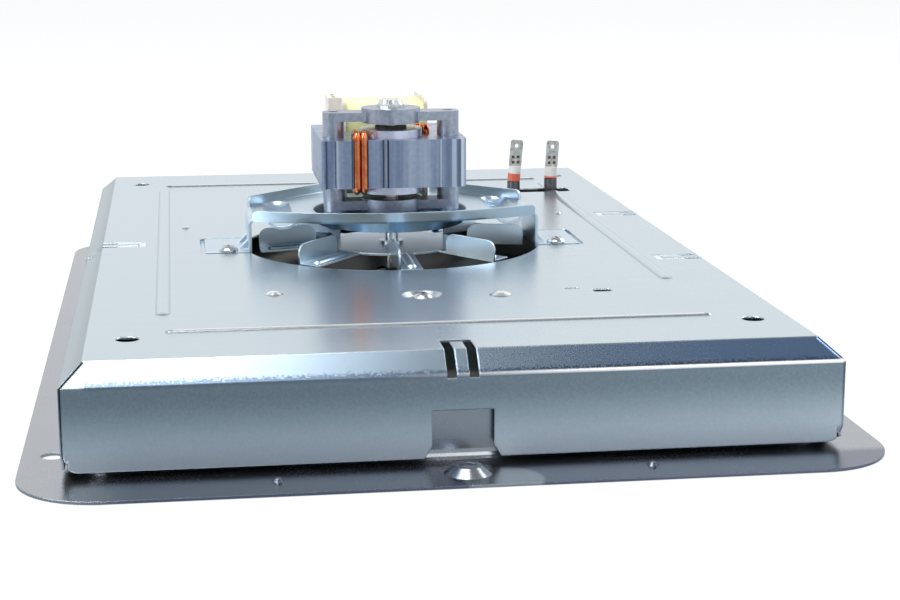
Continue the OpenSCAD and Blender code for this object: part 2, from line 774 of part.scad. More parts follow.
module motor_screws() color("#c9cdd0")
    for (s = [-1, 1]) translate([s * screw_gap / 2, 0, floor_z - bracket_t])
        screw(3.4, 2.2, stack_top + post_h + arm_t - 0.8 - floor_z + bracket_t);

// Rotor on its shaft
cage_h = 3.4;
cage_bars = 16;
bar_r = 1;
module cage_bar_places() for (i = [1 : cage_bars])
    rotate(i * 360 / cage_bars) translate([rotor_r - 2.2, 0, 0]) children();

module rotor_core() color("#5b6472") translate([0, 0, stack_z]) difference() {
    cylinder(r = rotor_r, h = stack_h, $fn = round_fn);
    translate([0, 0, -1]) cylinder(r = shaft_r + fixed_fit, h = 99);
    cage_bar_places() translate([0, 0, -1]) cylinder(r = bar_r + fixed_fit, h = 99);
}

module rotor_cage() color("#c6cad6") {
    for (z = [stack_z - cage_h, stack_top]) translate([0, 0, z]) difference() {
        cylinder(r = rotor_r - 0.2, h = cage_h, $fn = round_fn);
        translate([0, 0, -1]) cylinder(r = shaft_r + fixed_fit, h = 99);
    }
    cage_bar_places() translate([0, 0, stack_z - 0.1]) cylinder(r = bar_r, h = stack_h + 0.2);
}

shaft_low = roof_low - 23;
module shaft() color("#8f959c") translate([0, 0, shaft_low])
    cylinder(r = shaft_r, h = hub_top - 0.6 - shaft_low);

washer_t = 1;
module thrust_washer(z) translate([0, 0, z]) difference() {
    cylinder(r = 6.7, h = washer_t);
    translate([0, 0, -1]) cylinder(r = shaft_r + fixed_fit, h = 9);
}
module upper_thrust_washer() color("#2c2c2e") thrust_washer(stack_top + cage_h);
module lower_thrust_washer() color("#2c2c2e") thrust_washer(stack_z - cage_h - washer_t);

// Cooling fan: one pressed sheet, each arm with a blade turned up along one edge
arm_slope = 2.6;
fan_turn = 1.5;
fan_bore_r = 4;
module fan_arm() {
    half = fan_arm_w / 2;
    root = blade_in - 6;
    len = fan_r - root;
    corner = 4;
    translate([root, 0, 0]) rotate([0, arm_slope, 0]) {
        difference() {
            translate([-1, -half, 0]) cube([len + 1, fan_arm_w, fan_t]);
            translate([6, 1, -1]) linear_extrude(1 + rib_rise - 0.6)
                translate([(len - 9) / 2, 0]) rotate(90) square([2, len - 12], center = true);
        }
        translate([6, 1, fan_t - 0.01]) translate([(len - 9) / 2, 0, 0]) rotate(90)
            bead(4, len - 9, rib_rise);
        translate([blade_in - root, -half + fan_t, 0]) rotate([90, 0, 0])
            linear_extrude(fan_t) {
                w = fan_r - blade_in;
                translate([0, 0]) square([w, blade_h - corner]);
                translate([corner, 0]) square([w - 2 * corner, blade_h]);
                for (x = [corner, w - corner]) translate([x, blade_h - corner])
                    circle(corner);
            }
    }
}
rib_rise = 1.2;

module cooling_fan() color("#9fb0ba") translate([0, 0, fan_z]) difference() {
    union() {
        cylinder(r = blade_in - 3, h = fan_t);
        for (i = [1 : fan_arms]) rotate(fan_turn + i * 360 / fan_arms) fan_arm();
    }
    translate([0, 0, -9]) cylinder(r = fan_bore_r + fixed_fit, h = 20);
}

module fan_hub() color("#8b8f94") translate([0, 0, fan_z]) difference() {
    union() {
        translate([0, 0, fan_t]) cylinder(r = 5.3, h = 1);
        translate([0, 0, -2.4]) cylinder(r = fan_bore_r, h = fan_t + 2.6);
        translate([0, 0, -2.4]) cylinder(r = 5.3, h = 2.4);
    }
    translate([0, 0, -9]) cylinder(r = shaft_r + fixed_fit, h = 20);
}

// Convection wheel on the oven side: a disc with lanced, turned-down blades
disc_z = roof_low - 5.6;
module convection_wheel() color("#b4b2a8") {
    blade_len = 26;
    blade_turn = 18;
    difference() {
        union() {
            translate([0, 0, disc_z]) cylinder(r = wheel_r, h = fan_t, $fn = round_fn);
            for (i = [1 : wheel_blades]) rotate(i * 360 / wheel_blades)
                translate([wheel_r - blade_len - 4, 0, disc_z - wheel_blade_h])
                    rotate(blade_turn) cube([blade_len, fan_t, wheel_blade_h + 0.2]);
        }
        for (i = [1 : wheel_blades]) rotate(i * 360 / wheel_blades)
            translate([wheel_r - blade_len - 4, 0, 0]) rotate(blade_turn)
                translate([1, fan_t + 0.01, disc_z - 1]) cube([blade_len - 4, 8, 9]);
        translate([0, 0, disc_z - 9]) cylinder(r = 5 + fixed_fit, h = 20);
    }
}

module wheel_hub() color("#8b8f94") difference() {
    union() {
        translate([0, 0, disc_z - 6]) cylinder(r = 8, h = 6);
        translate([0, 0, disc_z - 0.1]) cylinder(r = 5, h = fan_t + 0.2);
        translate([0, 0, disc_z + fan_t]) cylinder(r = 6.4, h = 2);
    }
    translate([0, 0, disc_z - 9]) cylinder(r = shaft_r + fixed_fit, h = 20);
}

module wheel_nut() color("#c9cdd0") translate([0, 0, disc_z - 6 - 5]) difference() {
    cylinder(d = 11.5, h = 5, $fn = 6);
    translate([0, 0, -1]) cylinder(r = shaft_r + fixed_fit, h = 9);
}

// Ring heater: its ends bend outwards, run side by side and turn up through the roof
lead_angle = atan2(terminal_y, terminal_x);
lead_half = terminal_gap / 2 * sin(lead_angle);
lead_bend = 10;
bend_reach = ring_r + lead_bend;
bend_half = lead_half + lead_bend;
bend_angle = asin(bend_half / bend_reach);
sheath_top = [cover_h + 4.8, cover_h + 6];
heater_screw_places = [for (s = [-1, 1]) [terminal_x + s * (terminal_gap / 2 + 9), terminal_y]];
heater_plate_w = terminal_gap + 28;
heater_plate_l = 18;
heater_plate_t = 1.5;

module tube_arc(r, from, to, d) {
    rotate(from) rotate_extrude(angle = to - from, $fn = round_fn)
        translate([r, 0]) circle(d = d, $fn = 32);
}

// A bend is a hair thinner than the tube, and its ends reach into the next stretches
module lead_elbow(from, to) {
    reach = 2;
    tube_arc(lead_bend, from - reach, to + reach, tube_d - 0.04);
}

module heater_lead(i) {
    start = bend_reach * cos(bend_angle);
    end = norm([terminal_x, terminal_y])
        + (i == 0 ? -1 : 1) * terminal_gap / 2 * cos(lead_angle);
    translate([start, bend_half, 0]) lead_elbow(180 + bend_angle, 270);
    translate([start, lead_half, 0]) rotate([0, 90, 0])
        cylinder(d = tube_d, h = end - lead_bend - start, $fn = 32);
    translate([end - lead_bend, lead_half, lead_bend]) rotate([90, 0, 0])
        lead_elbow(-90, 0);
    translate([end, lead_half, lead_bend])
        cylinder(d = tube_d, h = sheath_top[i] - ring_z - lead_bend, $fn = 32);
}

module heater_tube() color("#3c3a3c") translate([0, 0, ring_z]) rotate(lead_angle) {
    tube_arc(ring_r, bend_angle, 360 - bend_angle, tube_d);
    heater_lead(0);
    mirror([0, 1, 0]) heater_lead(1);
}

module heater_plate() color("#a7a9aa")
    translate([0, 0, roof_low - heater_plate_t]) linear_extrude(heater_plate_t) difference() {
        translate([terminal_x, terminal_y]) round_rect(heater_plate_w, heater_plate_l, 4);
        for (p = terminals) translate(p) circle(d = tube_d + 0.1);
        for (p = heater_screw_places) translate(p) circle(d = screw_hole);
    }

module heater_screws() color("#c9cdd0")
    for (p = heater_screw_places) translate([p[0], p[1], roof_low - heater_plate_t])
        screw(3.4, 2, short_screw);

// Each clip hooks under the tube, and its foot on the roof points at the wheel
clip_w = 9;
clip_foot = 9;
module heater_clips() color("#a7a9aa") {
    out = tube_d / 2 + 0.1;
    under = ring_z - out;
    for (a = [150, 240, 330]) rotate(a) translate([ring_r, 0, 0]) rotate([90, 0, 0])
        linear_extrude(clip_w, center = true) polygon([
            [-out, roof_low], [-out, under], [out, under], [out, under - sheet_t],
            [-out - sheet_t, under - sheet_t], [-out - sheet_t, roof_low - sheet_t],
            [-out - clip_foot, roof_low - sheet_t], [-out - clip_foot, roof_low]]);
}

// Terminals: seal, ceramic and spade tab on each end of the tube
seal_h = [4.1, 1.2];
ceramic_h = [3.7, 4.6];
lean = [4.8, 3.4];
tab_w = 6.3;
tab_h = 13.2;
tab_t = 0.8;
module at_terminal(i, up) translate([terminals[i][0], terminals[i][1], sheath_top[i]])
    rotate([0, lean[i], 0]) translate([0, 0, up]) children();

module terminal_seals() color("#d1431f") for (i = [0, 1])
    at_terminal(i, 0.3) cylinder(d = tube_d, h = seal_h[i] - 0.3);

module terminal_ceramics() color("#e9e4e0") for (i = [0, 1])
    at_terminal(i, seal_h[i]) cylinder(d = tube_d - 0.2, h = ceramic_h[i]);

module terminal_tabs() color("#8d8a80") for (i = [0, 1])
    at_terminal(i, seal_h[i] + ceramic_h[i]) rotate([90, 0, 0])
        linear_extrude(tab_t, center = true) difference() {
            polygon([[-tab_w / 2, 0], [-tab_w / 2, tab_h - 0.8], [-tab_w / 2 + 0.8, tab_h],
                     [tab_w / 2 - 0.8, tab_h], [tab_w / 2, tab_h - 0.8], [tab_w / 2, 0]]);
            translate([0, tab_h - 3]) circle(d = 1.9);
        }

oven_pan();
rear_cover();
cover_spacers();
cover_screw();
motor_bracket();
bracket_screws();
stator_laminations();
coil_core();
bobbin();
coil_winding();
coil_tape();
front_shading_rings();
rear_shading_rings();
upper_bearing_bracket();
lower_bearing_bracket();
upper_bearing();
lower_bearing();
upper_bearing_cap();
lower_bearing_cap();
motor_screws();
rotor_core();
rotor_cage();
shaft();
upper_thrust_washer();
lower_thrust_washer();
cooling_fan();
fan_hub();
convection_wheel();
wheel_hub();
wheel_nut();
heater_tube();
heater_plate();
heater_screws();
heater_clips();
terminal_seals();
terminal_ceramics();
terminal_tabs();
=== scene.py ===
import json
import math

import bmesh
import bpy
from mathutils import Matrix, Vector


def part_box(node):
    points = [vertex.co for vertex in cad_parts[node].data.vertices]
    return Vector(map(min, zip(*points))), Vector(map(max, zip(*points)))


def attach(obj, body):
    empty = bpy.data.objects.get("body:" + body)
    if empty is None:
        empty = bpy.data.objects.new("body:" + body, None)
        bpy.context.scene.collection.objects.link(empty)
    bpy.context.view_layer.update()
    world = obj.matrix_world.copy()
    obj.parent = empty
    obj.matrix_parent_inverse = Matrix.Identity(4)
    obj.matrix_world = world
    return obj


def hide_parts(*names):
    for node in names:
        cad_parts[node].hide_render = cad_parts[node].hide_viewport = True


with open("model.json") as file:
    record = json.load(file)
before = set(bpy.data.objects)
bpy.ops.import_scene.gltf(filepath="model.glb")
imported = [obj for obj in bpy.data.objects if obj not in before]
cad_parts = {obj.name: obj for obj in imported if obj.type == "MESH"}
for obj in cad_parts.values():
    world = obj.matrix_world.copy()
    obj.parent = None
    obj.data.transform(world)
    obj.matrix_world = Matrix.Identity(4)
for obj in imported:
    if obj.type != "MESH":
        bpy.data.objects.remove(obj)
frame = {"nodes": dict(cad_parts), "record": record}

bpy.context.scene.view_settings.view_transform = "Standard"
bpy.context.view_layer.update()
cadNodes = frame["nodes"]
mm = 0.001

# Camera

cameraView = {
    "place": (-90.44, -804.45, 183.61),  # millimetres
    "yaw": 8.194,  # degrees to the right of +Y
    "pitch": 11.904,  # degrees down
    "roll": -0.067,
    "focalPixels": 1907.65,  # for a picture 900 pixels wide
    "pictureWidth": 900,
}


def buildCamera(view):
    yaw, pitch, roll = (math.radians(view[k]) for k in ("yaw", "pitch", "roll"))
    forward = Vector((math.sin(yaw) * math.cos(pitch), math.cos(yaw) * math.cos(pitch), -math.sin(pitch)))
    right = Vector((math.cos(yaw), -math.sin(yaw), 0))
    up = right.cross(forward)
    across = math.cos(roll) * right + math.sin(roll) * up
    upright = -math.sin(roll) * right + math.cos(roll) * up
    data = bpy.data.cameras.new("camera")
    data.sensor_width = 36
    data.sensor_fit = "HORIZONTAL"
    data.lens = view["focalPixels"] / view["pictureWidth"] * data.sensor_width
    data.clip_start = 0.05
    data.clip_end = 20
    camera = bpy.data.objects.new("camera", data)
    bpy.context.scene.collection.objects.link(camera)
    turn = Matrix((across, upright, -forward)).transposed().to_4x4()
    camera.matrix_world = Matrix.Translation(Vector(view["place"]) * mm) @ turn
    bpy.context.scene.camera = camera


buildCamera(cameraView)
print("camera placed")

# Small helpers for node trees


def addNode(tree, kind, inputs=None, **settings):
    node = tree.nodes.new(kind)
    for key, value in settings.items():
        setattr(node, key, value)
    for key, value in (inputs or {}).items():
        if isinstance(value, bpy.types.NodeSocket):
            tree.links.new(value, node.inputs[key])
        else:
            node.inputs[key].default_value = value
    return node


def objectVector(tree, scale=(1, 1, 1), turn=(0, 0, 0), shift=(0, 0, 0)):
    coords = addNode(tree, "ShaderNodeTexCoord")
    mapping = addNode(tree, "ShaderNodeMapping", {
        "Vector": coords.outputs["Object"], "Scale": scale, "Rotation": turn, "Location": shift})
    return mapping.outputs["Vector"]


def objectAxes(tree):
    coords = addNode(tree, "ShaderNodeTexCoord")
    split = addNode(tree, "ShaderNodeSeparateXYZ", {"Vector": coords.outputs["Object"]})
    return split.outputs["X"], split.outputs["Y"], split.outputs["Z"]


def noise(tree, vector, scale, detail=3, rough=0.5):
    node = addNode(tree, "ShaderNodeTexNoise", {
        "Vector": vector, "Scale": scale, "Detail": detail, "Roughness": rough})
    return node.outputs["Fac"]


def maths(tree, operation, a, b=0.0, c=0.0):
    node = addNode(tree, "ShaderNodeMath", {0: a, 1: b, 2: c}, operation=operation)
    return node.outputs[0]


def band(tree, value, low, high, outLow=0.0, outHigh=1.0):
    node = addNode(tree, "ShaderNodeMapRange", {
        "Value": value, "From Min": low, "From Max": high,
        "To Min": outLow, "To Max": outHigh}, interpolation_type="SMOOTHSTEP")
    return node.outputs["Result"]


def mixColours(tree, fac, first, second, blend="MIX"):
    node = addNode(tree, "ShaderNodeMix", data_type="RGBA", blend_type=blend)
    for key, value in ((0, fac), (6, first), (7, second)):
        if isinstance(value, bpy.types.NodeSocket):
            tree.links.new(value, node.inputs[key])
        elif key == 0:
            node.inputs[key].default_value = value
        else:
            node.inputs[key].default_value = (*value[:3], 1)
    return node.outputs[2]


def ramp(tree, fac, stops):
    node = addNode(tree, "ShaderNodeValToRGB", {"Fac": fac})
    elements = node.color_ramp.elements
    while len(elements) < len(stops):
        elements.new(0.5)
    for element, (place, colour) in zip(elements, stops):
        element.position = place
        element.color = (*colour, 1)
    return node.outputs["Color"]


def bumped(tree, shader, height, strength, distance, edge=0.0):
    node = addNode(tree, "ShaderNodeBump", {
        "Height": height, "Strength": strength, "Distance": distance})
    if edge:
        rounded = addNode(tree, "ShaderNodeBevel", {"Radius": edge}, samples=6)
        tree.links.new(rounded.outputs["Normal"], node.inputs["Normal"])
    tree.links.new(node.outputs["Normal"], shader.inputs["Normal"])


def newMaterial(name):
    material = bpy.data.materials.new(name)
    material.use_nodes = True
    tree = material.node_tree
    return material, tree, tree.nodes["Principled BSDF"]


def feed(tree, shader, **inputs):
    names = {"colour": "Base Color", "rough": "Roughness", "metal": "Metallic"}
    for key, value in inputs.items():
        socket = shader.inputs[names[key]]
        if isinstance(value, bpy.types.NodeSocket):
            tree.links.new(value, socket)
        else:
            socket.default_value = (*value, 1) if key == "colour" else value


# Light, backdrop and floor

studio = {
    "floorTone": 0.93,
    "floorGlow": 0.80,  # share of the floor's white that has no shadow
    "floorMirrored": ((0.42, 0.49, 0.55), (0.80, 0.86, 0.92)),  # before the part, and elsewhere
    "skyForLight": (0.92, 0.96, 1.0),
    "skyStrength": 0.9,
    "mirroredBehind": 1.0,
    "mirroredBefore": (0.50, 0.95),  # before the part, to the left and to the right
    "mirroredZenith": 0.30,
    "softboxes": [
        # place, aimed at, size and power
        ((-0.42, -0.30, 1.3), (-0.05, 0.0, 0.0), (0.75, 0.8), 14.0),
        ((-1.2, -0.5, 0.7), (0.0, 0.0, 0.05), (0.6, 0.6), 7.0),
        ((1.2, 0.5, 1.0), (0.0, 0.0, 0.05), (0.8, 0.8), 9.0),
        ((0.64, -1.7, 1.3), (0.1, -0.1, 0.03), (0.6, 0.5), 4.5),
    ],
}


def buildStudio(settings):
    world = bpy.data.worlds.new("studio")
    bpy.context.scene.world = world
    world.use_nodes = True
    tree = world.node_tree
    output = tree.nodes["World Output"]
    path = addNode(tree, "ShaderNodeLightPath")
    coords = addNode(tree, "ShaderNodeTexCoord")
    aim = addNode(tree, "ShaderNodeSeparateXYZ", {"Vector": coords.outputs["Generated"]})
    before = band(tree, aim.outputs["X"], 0.05, 0.20, *settings["mirroredBefore"])
    behind = band(tree, aim.outputs["Y"], -0.35, 0.25, before, settings["mirroredBehind"])
    left = band(tree, aim.outputs["X"], -0.25, -0.75, 0.0, 0.7)
    low = maths(tree, "MAXIMUM", behind, left)
    zenith = band(tree, aim.outputs["Z"], 0.55, 0.92)
    gap = maths(tree, "SUBTRACT", settings["mirroredZenith"], low)
    overhead = maths(tree, "MULTIPLY_ADD", zenith, gap, low)
    mirrored = addNode(tree, "ShaderNodeBackground", {"Color": (1, 1, 1, 1), "Strength": overhead})
    plain = addNode(tree, "ShaderNodeBackground", {
        "Color": (*settings["skyForLight"], 1), "Strength": settings["skyStrength"]})
    seen = addNode(tree, "ShaderNodeBackground", {"Color": (1, 1, 1, 1), "Strength": 1.0})
    bright = maths(tree, "MAXIMUM", path.outputs["Is Glossy Ray"], path.outputs["Is Transmission Ray"])
    first = addNode(tree, "ShaderNodeMixShader", {
        0: bright, 1: plain.outputs[0], 2: mirrored.outputs[0]})
    last = addNode(tree, "ShaderNodeMixShader", {
        0: path.outputs["Is Camera Ray"], 1: first.outputs[0], 2: seen.outputs[0]})
    tree.links.new(last.outputs[0], output.inputs["Surface"])

    for index, (place, target, size, power) in enumerate(settings["softboxes"]):
        data = bpy.data.lights.new(f"softbox{index}", "AREA")
        data.shape = "RECTANGLE"
        data.size, data.size_y = size
        data.energy = power
        lamp = bpy.data.objects.new(f"softbox{index}", data)
        bpy.context.scene.collection.objects.link(lamp)
        lamp.location = place
        aim = Vector(target) - Vector(place)
        lamp.rotation_mode = "QUATERNION"
        lamp.rotation_quaternion = aim.to_track_quat("-Z", "Y")

    material, tree, shader = newMaterial("floorPaper")
    tone = settings["floorTone"]
    grain = noise(tree, objectVector(tree), 30, 2)
    paper = mixColours(tree, grain, (tone, tone, tone), (tone * 0.985,) * 3)
    feed(tree, shader, colour=paper, rough=0.9)
    shader.inputs["Specular IOR Level"].default_value = 0.1
    glow = addNode(tree, "ShaderNodeEmission", {"Color": (1, 1, 1, 1), "Strength": 1.0})
    path = addNode(tree, "ShaderNodeLightPath")
    looked = maths(tree, "MULTIPLY", path.outputs["Is Camera Ray"], settings["floorGlow"])
    both = addNode(tree, "ShaderNodeMixShader", {
        0: looked, 1: shader.outputs[0], 2: glow.outputs[0]})
    x, y, z = objectAxes(tree)
    before = maths(tree, "MULTIPLY", band(tree, y, -0.10, -0.26), band(tree, x, 0.19, -0.06, 0.12, 1.0))
    tint = mixColours(tree, before, settings["floorMirrored"][1], settings["floorMirrored"][0])
    mirrored = addNode(tree, "ShaderNodeEmission", {"Color": tint, "Strength": 1.0})
    whole = addNode(tree, "ShaderNodeMixShader", {
        0: path.outputs["Is Glossy Ray"], 1: both.outputs[0], 2: mirrored.outputs[0]})
    tree.links.new(whole.outputs[0], tree.nodes["Material Output"].inputs["Surface"])
    half = 6.0
    mesh = bpy.data.meshes.new("floor")
    corners = [(-half, -half, -0.0003), (half, -half, -0.0003), (half, half, -0.0003), (-half, half, -0.0003)]
    mesh.from_pydata(corners, [], [(0, 1, 2, 3)])
    mesh.materials.append(material)
    floor = bpy.data.objects.new("floor", mesh)
    bpy.context.scene.collection.objects.link(floor)


buildStudio(studio)
print("studio lit")

# Finishes


def rolledSheet(name, finish):
    material, tree, shader = newMaterial(name)
    streaks = noise(tree, objectVector(tree, finish["streakScale"]), 1.0, 4, 0.6)
    clouds = noise(tree, objectVector(tree), finish["cloudScale"], 3, 0.5)
    dust = noise(tree, objectVector(tree), finish["dustScale"], 2, 0.6)
    tone = maths(tree, "MULTIPLY_ADD", streaks, finish["streak"], 0.5 - finish["streak"] / 2)
    tone = maths(tree, "MULTIPLY_ADD", clouds, finish["cloud"], tone)
    tone = maths(tree, "MULTIPLY_ADD", dust, finish["dust"], tone)
    colour = ramp(tree, tone, [(0.25, finish["dark"]), (0.85, finish["light"])])
    rough = maths(tree, "MULTIPLY_ADD", clouds, finish["roughSpread"], finish["rough"])
    rough = maths(tree, "MULTIPLY_ADD", dust, finish["roughSpread"], rough)
    feed(tree, shader, colour=colour, rough=rough, metal=1.0)
    height = maths(tree, "MULTIPLY_ADD", dust, finish["dustRelief"], streaks)
    bumped(tree, shader, height, finish["bump"], 0.00005, finish["edge"])
    return material, tree, shader, colour, rough


galvanised = {
    "dark": (0.44, 0.53, 0.59), "light": (0.60, 0.70, 0.77), "rough": 0.20, "roughSpread": 0.06,
    "streakScale": (12, 900, 900), "cloudScale": 14, "dustScale": 1300,
    "streak": 0.20, "cloud": 0.16, "dust": 0.08, "dustRelief": 0.10, "bump": 0.05,
    "edge": 0.0009}  # how wide a bend looks, metres
satinSheet = {
    "dark": (0.42, 0.53, 0.62), "light": (0.64, 0.76, 0.86), "rough": 0.25, "roughSpread": 0.06,
    "streakScale": (60, 60, 60), "cloudScale": 55, "dustScale": 1500,
    "streak": 0.16, "cloud": 0.22, "dust": 0.14, "dustRelief": 0.10, "bump": 0.04, "edge": 0.0004}
satinPan = {
    "dark": (0.24, 0.26, 0.29), "light": (0.42, 0.45, 0.49), "rough": 0.18, "roughSpread": 0.08,
    "streakScale": (120, 120, 120), "cloudScale": 25, "dustScale": 1800,
    "streak": 0.12, "cloud": 0.12, "dust": 0.18, "dustRelief": 0.5, "bump": 0.12, "edge": 0.0005}


roofTone = {
    "low": 0.018, "high": 0.024, "dark": (0.44, 0.44, 0.41), "light": (0.72, 0.72, 0.67), "rough": 0.24,
    "shadeMiddle": (0.008, 0.010), "shadeReach": (0.060, 0.034), "shade": (0.012, 0.014, 0.016),
    "flange": (0.42, 0.45, 0.54), "boss": (0.0105, -0.2254, 0.014)}  # painted reflection tone for the flange before the cover's wall, and the boss's x, y and reach


def panFinish():
    material, tree, shader, colour, rough = rolledSheet("satinPan", satinPan)
    x, y, z = objectAxes(tree)
    roof = band(tree, z, roofTone["low"], roofTone["high"])
    stain = noise(tree, objectVector(tree), 45, 4, 0.6)
    pale = ramp(tree, stain, [(0.3, roofTone["dark"]), (0.7, roofTone["light"])])
    aside = [maths(tree, "DIVIDE", maths(tree, "SUBTRACT", place, middle), reach) for place, middle, reach
             in zip((x, y), roofTone["shadeMiddle"], roofTone["shadeReach"])]
    away = maths(tree, "ADD", *(maths(tree, "MULTIPLY", a, a) for a in aside))
    pale = mixColours(tree, band(tree, away, 1.35, 0.65), pale, roofTone["shade"])
    bossX, bossY, reach = roofTone["boss"]
    offX, offY = maths(tree, "SUBTRACT", x, bossX), maths(tree, "SUBTRACT", y, bossY)
    apart = maths(tree, "SQRT", maths(tree, "MULTIPLY_ADD", offX, offX, maths(tree, "MULTIPLY", offY, offY)))
    # Painted reflection: the flange just before the cover's wall is darkened and tinted blue, as the dark wall
    # mirrored in it, leaving the boss round the front hole untouched.
    front = maths(tree, "MULTIPLY", band(tree, y, -0.206, -0.213), band(tree, x, -0.128, -0.105))
    front = maths(tree, "MULTIPLY", front, band(tree, apart, reach - 0.002, reach))
    flangeReflectionDim = mixColours(tree, 1.0, colour, roofTone["flange"], "MULTIPLY")
    colour = mixColours(tree, front, colour, flangeReflectionDim)
    feed(tree, shader, colour=mixColours(tree, roof, colour, pale),
         rough=maths(tree, "MULTIPLY_ADD", roof, roofTone["rough"], rough))
    return material


coverTones = {
    "bead": (0.03842, 0.03850, 0.03895),  # heights where a bead starts and where its slope ends
    "beadFootShade": (0.22, 0.28, 0.33), "beadTopHighlight": (0.90, 0.93, 0.95), "scratch": (0.88, 0.91, 0.93),
    "sideBeads": 0.0934,  # metres from the middle, beyond which beads keep the sheet's tone
    "bevel": (0.0383, 0.0380, 0.0313),  # heights where a bevel starts, is reached and ends
    "bevelReflectionLeft": (0.45, 0.49, 0.54), "bevelReflectionRight": (0.36, 0.48, 0.72), "speckle": (0.10, 0.14, 0.20),
    "sideBevelShade": (0.42, 0.46, 0.46), "sideBevelShadeOut": (0.60, 0.62, 0.61),
    "bend": (0.0313, 0.0008), "bendHighlightTone": (0.97, 0.98, 1.0)}  # painted highlight: the bright line along the lower bend


def coverFinish():
    material, tree, shader, colour, rough = rolledSheet("galvanisedCover", galvanised)
    x, y, z = objectAxes(tree)
    # Painted shade along the foot of each bead, and a painted highlight over the raised part of the beads nearer the
    # middle.
    raised = band(tree, z, coverTones["bead"][0], coverTones["bead"][1])
    slope = band(tree, z, coverTones["bead"][1], coverTones["bead"][2])
    rim = maths(tree, "SUBTRACT", raised, slope)
    colour = mixColours(tree, maths(tree, "MULTIPLY", rim, 0.55), colour, coverTones["beadFootShade"])
    inner = band(tree, maths(tree, "ABSOLUTE", x), coverTones["sideBeads"] + 0.0004, coverTones["sideBeads"])
    colour = mixColours(tree, maths(tree, "MULTIPLY", slope, inner), colour, coverTones["beadTopHighlight"])
    scratches = noise(tree, objectVector(tree, (40, 1500, 1500), (0, 0, 0.35)), 1.0, 2, 0.4)
    worn = noise(tree, objectVector(tree), 24, 2, 0.5)
    marks = maths(tree, "MULTIPLY", band(tree, scratches, 0.70, 0.74), band(tree, worn, 0.52, 0.60))
    colour = mixColours(tree, maths(tree, "MULTIPLY", marks, 0.5), colour, coverTones["scratch"])
    start, reached, end = coverTones["bevel"]
    bevel = band(tree, z, start, reached)
    speck = noise(tree, objectVector(tree), 1100, 2, 0.7)
    # Painted reflection: the front bevel is dimmed, greyer to the left and bluer and darker to the right, and
    # speckled darker towards its foot.
    bevelReflectionTone = mixColours(tree, band(tree, x, -0.01, 0.11), coverTones["bevelReflectionLeft"], coverTones["bevelReflectionRight"])
    front = mixColours(tree, 1.0, colour, bevelReflectionTone, "MULTIPLY")
    foot = maths(tree, "MULTIPLY_ADD", band(tree, z, end + 0.0028, end), 0.42, speck)
    front = mixColours(tree, band(tree, foot, 0.66, 0.84), front, coverTones["speckle"])
    # Painted shade: the left side bevel is dimmed, most near its top and less towards its lower end.
    shaded = mixColours(tree, band(tree, z, start, end + 0.002), coverTones["sideBevelShade"], coverTones["sideBevelShadeOut"])
    side = mixColours(tree, 1.0, colour, shaded, "MULTIPLY")
    colour = mixColours(tree, maths(tree, "MULTIPLY", bevel, band(tree, y, -0.180, -0.190)), colour, front)
    colour = mixColours(tree, maths(tree, "MULTIPLY", bevel, band(tree, x, -0.1215, -0.1225)), colour, side)
    # Painted reflection: the cover's walls are darker near the top and lighter towards the bottom, with speckle.
    wall = band(tree, z, 0.0320, 0.0300)
    low = band(tree, z, 0.028, 0.006)
    wallSpeckleAndShade = maths(tree, "MULTIPLY_ADD", speck, 0.25, maths(tree, "MULTIPLY", low, 0.75))
    wallSpeckleAndShadeColour = ramp(tree, wallSpeckleAndShade, [
        (0.05, (0.20, 0.26, 0.30)), (0.4, (0.36, 0.44, 0.49)), (0.9, (0.60, 0.68, 0.74))])
    colour = mixColours(tree, wall, colour, wallSpeckleAndShadeColour)
    rough = maths(tree, "MULTIPLY_ADD", wall, 0.14, rough)
    # Painted highlight: a near-white line along the lower bend, fading out towards the left.
    middle, half = coverTones["bend"]
    off = maths(tree, "ABSOLUTE", maths(tree, "SUBTRACT", z, middle))
    bend = maths(tree, "MULTIPLY", band(tree, off, half, half * 0.4), band(tree, x, -0.03, 0.07))
    colour = mixColours(tree, bend, colour, coverTones["bendHighlightTone"])
    rough = maths(tree, "MULTIPLY_ADD", bend, 0.30, rough)
    feed(tree, shader, colour=colour, rough=rough)
    return material


dishTone = {"half": 0.036, "rim": (0.0524, 0.0516), "shade": (0.30, 0.41, 0.52)}  # metres and tone


def bracketFinish():
    material, tree, shader, colour, rough = rolledSheet("galvanisedBracket", satinSheet)
    x, y, z = objectAxes(tree)
    near = band(tree, maths(tree, "ABSOLUTE", x), dishTone["half"] + 0.004, dishTone["half"])
    dished = maths(tree, "MULTIPLY", near, band(tree, z, *dishTone["rim"]))
    shaded = mixColours(tree, 1.0, colour, dishTone["shade"], "MULTIPLY")
    feed(tree, shader, colour=mixColours(tree, dished, colour, shaded))
    return material


weldMarks = {
    "middles": ((0.0789, 0.0542), (0.0975, 0.0536)),  # x and z of each tab's marks, metres
    "step": (0.00125, 0.00135), "radius": 0.0009, "colour": (0.13, 0.08, 0.05)}


